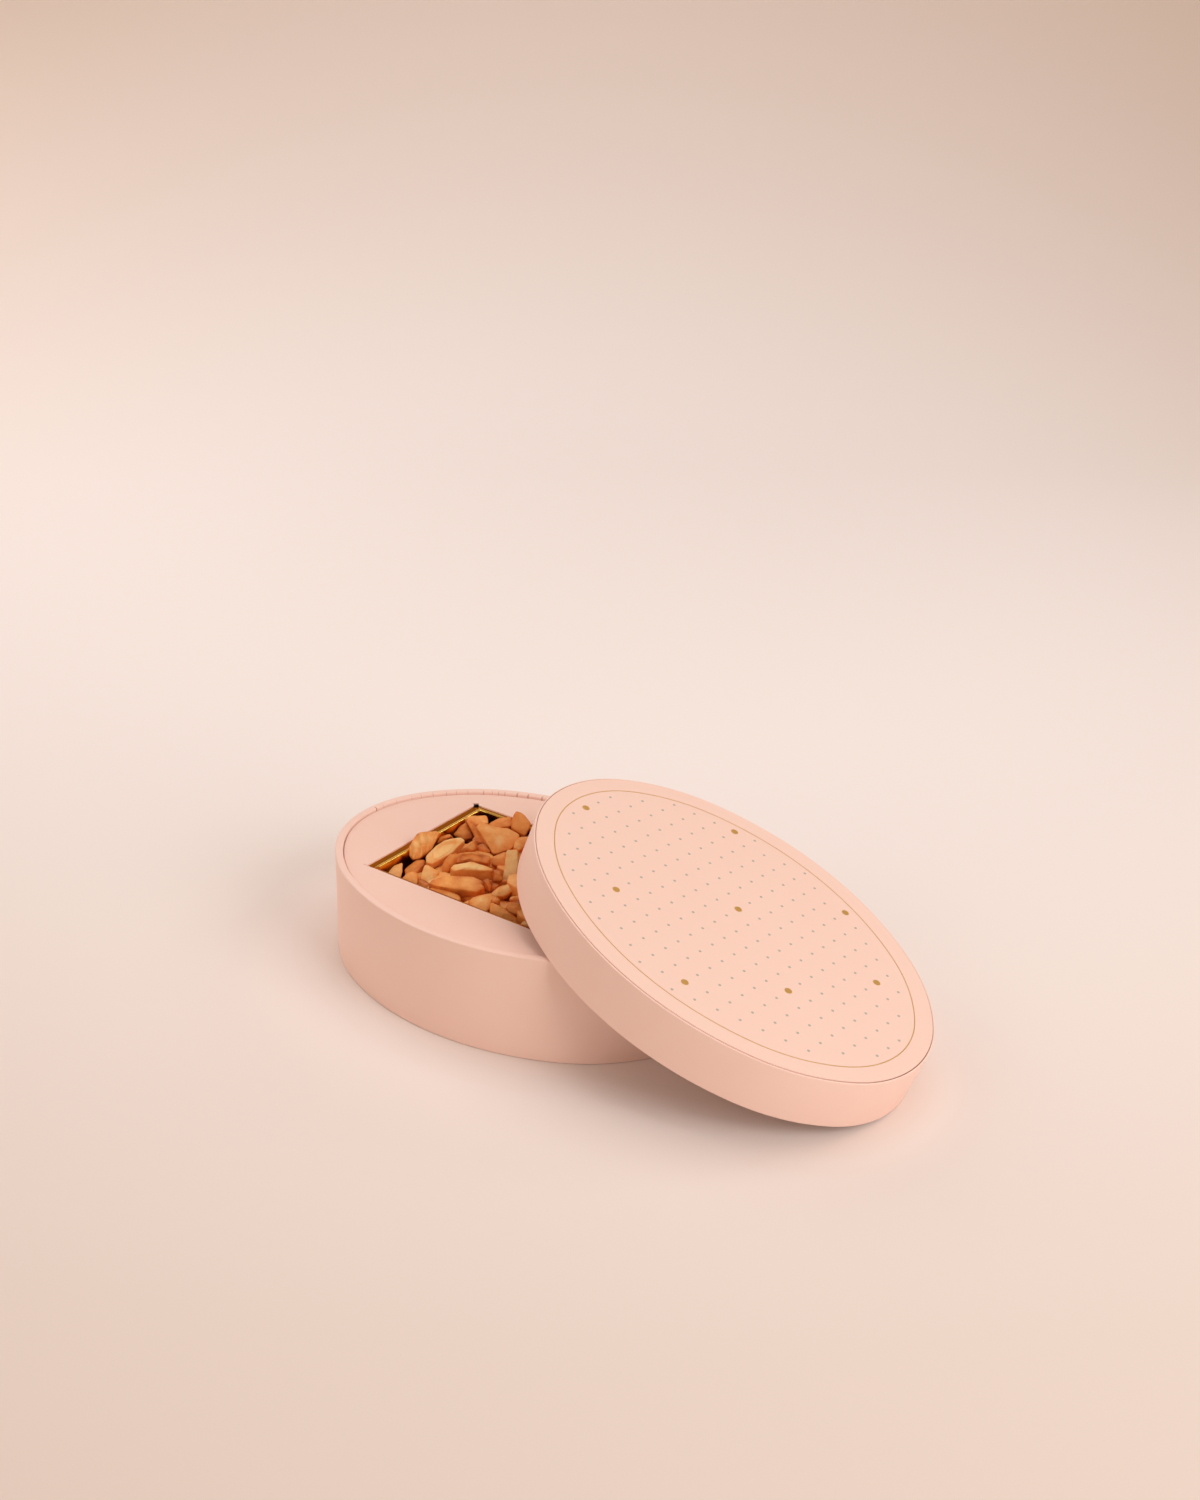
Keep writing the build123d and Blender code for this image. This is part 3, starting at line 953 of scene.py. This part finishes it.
# %% Pieces seen in the window
def facing_way(turn, rise):
    """Direction that a face looks in, turned from the viewer and raised from level."""
    heading, lifted = camera_azimuth + math.radians(turn), math.radians(rise)
    level = Vector((math.sin(heading), -math.cos(heading), 0))
    return level * math.cos(lifted) + Vector((0, 0, math.sin(lifted)))


def corners_on_face(pixels, height, facing):
    """Points where the rays through some pixels meet a face, whose middle has a height."""
    middle_pixel = [sum(axis) / len(pixels) for axis in zip(*pixels)]
    reach = (place_at(middle_pixel, height) - camera_place).dot(facing)
    rays = [place_at(pixel, 0) - camera_place for pixel in pixels]
    return [camera_place + ray * (reach / ray.dot(facing)) for ray in rays]


# height of the face's middle in millimetres, its turn and rise in degrees, thickness in
# millimetres, browning, corners of the face in pixels of the picture
seen_pieces = [
    (58, 5, 34, 9, 0.18, [(409, 845), (418, 832), (436, 831), (440, 833), (431, 849), (420, 858),
     (413, 860), (409, 855)]),
    (52, -10, 45, 7, 0.45, [(433, 845), (438, 837), (450, 833), (452, 836), (441, 842)]),
    (57, -5, 62, 5, -0.02, [(426, 856), (436, 845), (445, 839), (461, 837), (465, 840), (452, 853),
     (438, 861), (431, 864), (426, 862)]),
    (49, 20, 45, 7, 0.1, [(382, 870), (391, 866), (403, 862), (403, 871), (400, 881), (387, 879)]),
    (49, -15, 50, 7, 0.5, [(404, 869), (415, 860), (424, 859), (425, 864), (415, 874), (405, 876)]),
    (53, 10, 45, 7, 0.15, [(425, 863), (440, 871), (436, 878), (430, 885), (419, 879)]),
    (53, 0, 50, 8, 0.3, [(401, 879), (407, 873), (413, 871), (418, 873), (417, 884), (407, 885)]),
    (50, -10, 40, 7, 0.6, [(417, 879), (423, 879), (431, 884), (428, 892), (417, 890)]),
    (51, -10, 40, 7, 0.5, [(452, 835), (459, 827), (466, 822), (474, 838), (464, 840)]),
    (57, 0, 70, 6, 0.35, [(464, 818), (472, 815), (487, 815), (489, 823), (476, 825)]),
    (53, -15, 30, 7, 0.45, [(465, 819), (476, 825), (483, 842), (478, 844), (471, 832)]),
    (57, 8, 50, 7, 0.22, [(476, 827), (482, 822), (497, 827), (509, 828), (521, 835), (512, 849),
     (493, 855), (485, 841)]),
    (55, 5, 55, 7, 0.4, [(488, 824), (498, 818), (512, 816), (512, 826), (496, 829)]),
    (58, 5, 35, 6, 0.35, [(511, 822), (516, 811), (523, 813), (532, 823), (525, 837), (512, 829)]),
    (57, 0, 50, 8, 0.25, [(513, 848), (515, 841), (520, 837), (529, 836), (530, 843), (519, 851)]),
    # this piece lies in shade; its browning below zero is partly painted light, which makes it
    # paler
    (56, -8, 40, 6, -0.1, [(506, 849), (518, 849), (518, 865), (516, 882), (502, 882), (504, 868)]),
    (53, -10, 45, 7, 0.45, [(490, 857), (506, 851), (507, 857), (505, 869), (492, 865)]),
    (56, 0, 58, 6, 0.45, [(453, 859), (457, 853), (473, 851), (491, 856), (488, 864), (469, 861),
     (455, 863)]),
    (54, -10, 35, 7, 0.35, [(475, 839), (475, 850), (454, 856), (460, 848)]),
    (54, -25, 20, 7, 0.35, [(441, 875), (442, 863), (450, 854), (454, 858), (453, 865),
     (447, 874)]),
    (59, 0, 82, 6.5, 0.1, [(450, 868), (453, 864), (472, 861), (494, 869), (490, 871), (466, 869),
     (454, 871)]),
    (54, 10, 40, 7, 0.4, [(493, 869), (502, 871), (503, 881), (492, 881)]),
    (59, 0, 62, 8, 0.35, [(428, 883), (432, 879), (448, 875), (473, 876), (484, 881), (482, 884),
     (485, 887), (477, 892), (454, 889), (436, 886)]),
    (54, -5, 50, 7, 0.3, [(428, 888), (438, 886), (460, 895), (460, 904), (433, 897)]),
    (58, 10, 55, 7, 0.15, [(491, 893), (498, 886), (516, 882), (518, 888), (505, 896), (492, 897)]),
    (56, 5, 50, 7, 0.2, [(469, 901), (473, 896), (491, 893), (496, 897), (490, 909), (484, 913),
     (470, 908)]),
    (58, 0, 45, 6, 0.45, [(491, 899), (496, 896), (500, 900), (498, 904), (492, 903)]),
    (54, -5, 40, 6, 0.4, [(462, 903), (469, 900), (472, 906), (465, 908)]),
    (54, 5, 38, 7, 0.3, [(491, 902), (503, 907), (512, 912), (518, 919), (517, 925), (490, 915)]),
    (56, 15, 48, 7, 0.5, [(505, 908), (508, 902), (523, 900), (528, 911), (525, 917), (509, 912)]),
    (57, 0, 65, 5, 0.3, [(509, 899), (511, 896), (523, 895), (524, 900), (511, 900)]),
    (54, 0, 45, 6, 0.1, [(520, 924), (524, 920), (531, 922), (532, 930), (523, 928)]),
    (52, -5, 40, 6, 0.6, [(475, 846), (483, 843), (491, 851), (487, 855), (478, 852)]),
    (55, 10, 35, 6, 0.45, [(483, 880), (489, 879), (491, 886), (490, 892), (484, 888)]),
    (52, 0, 40, 6, 0.6, [(490, 886), (494, 883), (499, 885), (496, 892), (490, 893)]),
]

# pieces with a look of their own, by their place in the list: ridges of folded layers on the
# first, a dimple in two pale ones, and a smoother skin on the large one in front
special_looks = {
    0: {"folds": 0.9},
    2: {"dimple": 1.6},
    17: {"dimple": 1.4},
    22: {"edge": 1.2, "puff": 0.1, "rough": 0.1},
}

in_front = []
for number, (height, turn, rise, thickness, browning, pixels) in enumerate(seen_pieces):
    facing = facing_way(turn, rise)
    corners = corners_on_face(pixels, height, facing)
    look = {"browning": browning, **special_looks.get(number, {})}
    in_front.append(dough_slab(corners, facing, thickness, number + 1, **look))
print(heap("fried_pieces_in_front", in_front, "fried_top_pieces"))

# %% [markdown]
# The rest of the heap fills the tray. It is laid layer by layer: places on a loose grid, each
# piece turned and tipped a little at random from a seeded chooser, so the heap is the same on
# every run. Low down the pieces lie nearly flat, as a shaken heap does, and they have fewer
# faces, because nobody sees them. Under the lid they are heaped up as high as in front.

# %% Loose layers
heap_chooser = random.Random(31)
usual_length, usual_width, usual_thickness = 31.0, 15.0, 8.0
length_range, width_range, blunt_range = (0.85, 1.05), (0.85, 1.1), (0.1, 0.6)
slant_reach, turn_reach, row_turn = 6, 0.6, 0.5
browning_range = (0.1, 0.55)


def scattered(low_corner, high_corner, columns, rows, level, spread, tip, steps, seed):
    """Lozenges on a loose grid over a rectangle, about a level."""
    chosen = heap_chooser.uniform
    pieces = []
    for column in range(columns):
        for row in range(rows):
            x = low_corner[0] + (column + 0.5) * (high_corner[0] - low_corner[0]) / columns
            y = low_corner[1] + (row + 0.5) * (high_corner[1] - low_corner[1]) / rows
            half_long = usual_length / 2 * chosen(*length_range)
            half_wide = usual_width / 2 * chosen(*width_range)
            blunt = half_wide * chosen(*blunt_range)
            slant = chosen(-slant_reach, slant_reach)
            turn = Matrix.Rotation(chosen(-turn_reach, turn_reach) + row_turn * (row % 2), 3, "Z")
            pitch = Matrix.Rotation(chosen(-tip, tip) / 2, 3, "Y")
            lean = Matrix.Rotation(chosen(-tip, tip), 3, "X")
            turned = turn @ pitch @ lean
            middle = Vector((x, y, level + chosen(-spread, spread)))
            outline = [
                (-half_long, blunt), (-half_long, -blunt), (-slant, -half_wide),
                (half_long, -blunt), (half_long, blunt), (slant, half_wide),
            ]
            corners = [middle + turned @ Vector((*c, usual_thickness / 2)) for c in outline]
            facing = turned @ Vector((0, 0, 1))
            pieces.append(dough_slab(corners, facing, usual_thickness, seed + len(pieces),
                                     browning=chosen(*browning_range), steps=steps))
    return pieces


print("loose pieces are about", usual_length, "x", usual_width, "x", usual_thickness, "mm")

# %% The rest of the heap
lowest_layer, layer_rise, layer_count = 8.0, 8.4, 5

below = []
for layer in range(layer_count):
    below += scattered(
        (-64, -43), (64, 41), columns=4, rows=5, level=lowest_layer + layer_rise * layer,
        spread=0.3, tip=0.1, steps=1, seed=100 + 40 * layer,
    )
between = scattered(
    (-50, -38), (-6, 34), columns=2, rows=4, level=47.0, spread=0.8, tip=0.3, steps=3, seed=300
)
under_lid = scattered(
    (-8, -40), (62, 38), columns=3, rows=5, level=50.0, spread=1.2, tip=0.35, steps=4, seed=400
)
under_lid += scattered(
    (0, -26), (48, 24), columns=2, rows=3, level=57.0, spread=1.2, tip=0.35, steps=4, seed=500
)
print(heap("fried_pieces_below", below, "fried_lower_pieces"))
print(heap("fried_pieces_between", between, "fried_top_pieces"))
print(heap("fried_pieces_under_lid", under_lid, "fried_top_pieces"))

# %% [markdown]
# ## Finishes on the CAD nodes
#
# The boards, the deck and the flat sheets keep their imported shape. Only their finish changes.

# %% Finishes
node_finishes = (
    (covering_paper, ("base_bottom_paper", "lid_inside_paper")),
    (greyboard, ("base_wall_board", "base_bottom_board", "lid_band_board", "lid_top_board")),
    (deck_card, ("platform_support_collar", "platform_card")),
    (print_paper, ("lid_top_paper",)),
)
for finish, nodes in node_finishes:
    for node in nodes:
        for material_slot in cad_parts[node].material_slots:
            material_slot.material = finish
    print(finish.name, "on", ", ".join(nodes))

# %% [markdown]
# ## Studio
#
# The box stands on a seamless sheet of cream paper that sweeps up behind it, so no horizon shows.
# Its colour is painted darker far from the place where the lights meet, a painted falloff of light.

# %% Sweep of paper
lit_middle, lit_from, lit_to = (-0.35, 0.55, 0.0), 0.3, 1.5  # metres, as the shader reads
studio_paper = new_material("studio_sweep_paper")
from_middle = add_node(studio_paper, "ShaderNodeVectorMath", {"operation": "DISTANCE"}, {
    0: object_place(studio_paper), 1: lit_middle,
})
painted_falloff = add_node(studio_paper, "ShaderNodeMapRange", {"interpolation_type": "SMOOTHSTEP"}, {
    0: from_middle.outputs["Value"], 1: lit_from, 2: lit_to,
})
# painted falloff of light: the sweep's colour darkens away from where the lights meet
sweep_colour = mixed(studio_paper, painted_falloff.outputs[0], linear("#fbf2ee"), linear("#dbc5b4"))
finish_with(studio_paper, {"Base Color": sweep_colour, "Roughness": 0.9, "IOR": 1.45})

half_width, front, back, top, bend = 4000, -5000, 1800, 3200, 900
bend_steps = 16
profile = [(front, 0.0)]
for step in range(bend_steps + 1):
    turn = math.pi / 2 * step / bend_steps
    profile.append((back - bend * (1 - math.sin(turn)), bend * (1 - math.cos(turn))))
profile.append((back, top))
edges = [(side * half_width, y, z) for y, z in profile for side in (-1, 1)]
strips = [(i, i + 1, i + 3, i + 2) for i in range(0, len(edges) - 2, 2)]
view_turn = Matrix.Rotation(camera_azimuth, 4, "Z")
sweep = mesh_object("studio_sweep", edges, strips, studio_paper, view_turn)
print("sweep stands", back, "mm behind the box")

# %% [markdown]
# Five soft lights, as a small product studio has them. The main one stands low on the right and
# draws the form, a wide one overhead keeps the flat tops bright, and a weaker one on the left and
# a slightly warm one in front open up the shadows. A small one behind makes the gold fold glint.
# Large lights close by make the soft, tight shadow where the lid meets the tub. Their places and
# sizes are in metres.

# %% Lights
light_target = Vector((0.05, 0, 0.05))


def area_light(name, place, size, power, colour="#ffffff"):
    """Square area light that looks at the box."""
    data = bpy.data.lights.new(name, "AREA")
    data.size = size
    data.energy = power
    data.color = linear(colour)[:3]
    lamp = add_object(name, data)
    lamp.location = place
    lamp.rotation_euler = (light_target - Vector(place)).to_track_quat("-Z", "Y").to_euler()


area_light("main_softbox", (1.6, -0.15, 0.95), 1.1, 17.5)
area_light("top_softbox", (0.0, 0.4, 2.2), 1.6, 12.0)
area_light("left_softbox", (-1.5, 0.1, 0.8), 1.2, 7.7)
area_light("front_fill", (-0.3, -2.0, 1.0), 1.6, 8.7, "#fff2e6")
area_light("fold_glint", (1.1, 1.6, 1.3), 0.5, 2.5)
print("lights:", ", ".join(light.name for light in bpy.data.lights))

# %% [markdown]
# The room gives a faint warm light of its own. Beyond the sweep the camera sees it paler than it
# lights, and the kind of ray tells the two apart, so the pale background adds no light.

# %% Room
world = bpy.data.worlds.new("room")
world.use_nodes = True
world.node_tree.nodes.clear()
room_light = add_node(world, "ShaderNodeBackground", sockets={
    "Color": linear("#ffe7d7"), "Strength": 0.33,
})
room_seen = add_node(world, "ShaderNodeBackground", sockets={"Color": linear("#e6d6ca")})
looked_at = add_node(world, "ShaderNodeLightPath").outputs["Is Camera Ray"]
room = add_node(world, "ShaderNodeMixShader", sockets={
    0: looked_at, 1: room_light.outputs[0], 2: room_seen.outputs[0],
})
add_node(world, "ShaderNodeOutputWorld", sockets={"Surface": room.outputs[0]})
bpy.context.scene.world = world
bpy.context.scene.view_settings.view_transform = "Standard"
print("room light:", room_light.inputs["Strength"].default_value)
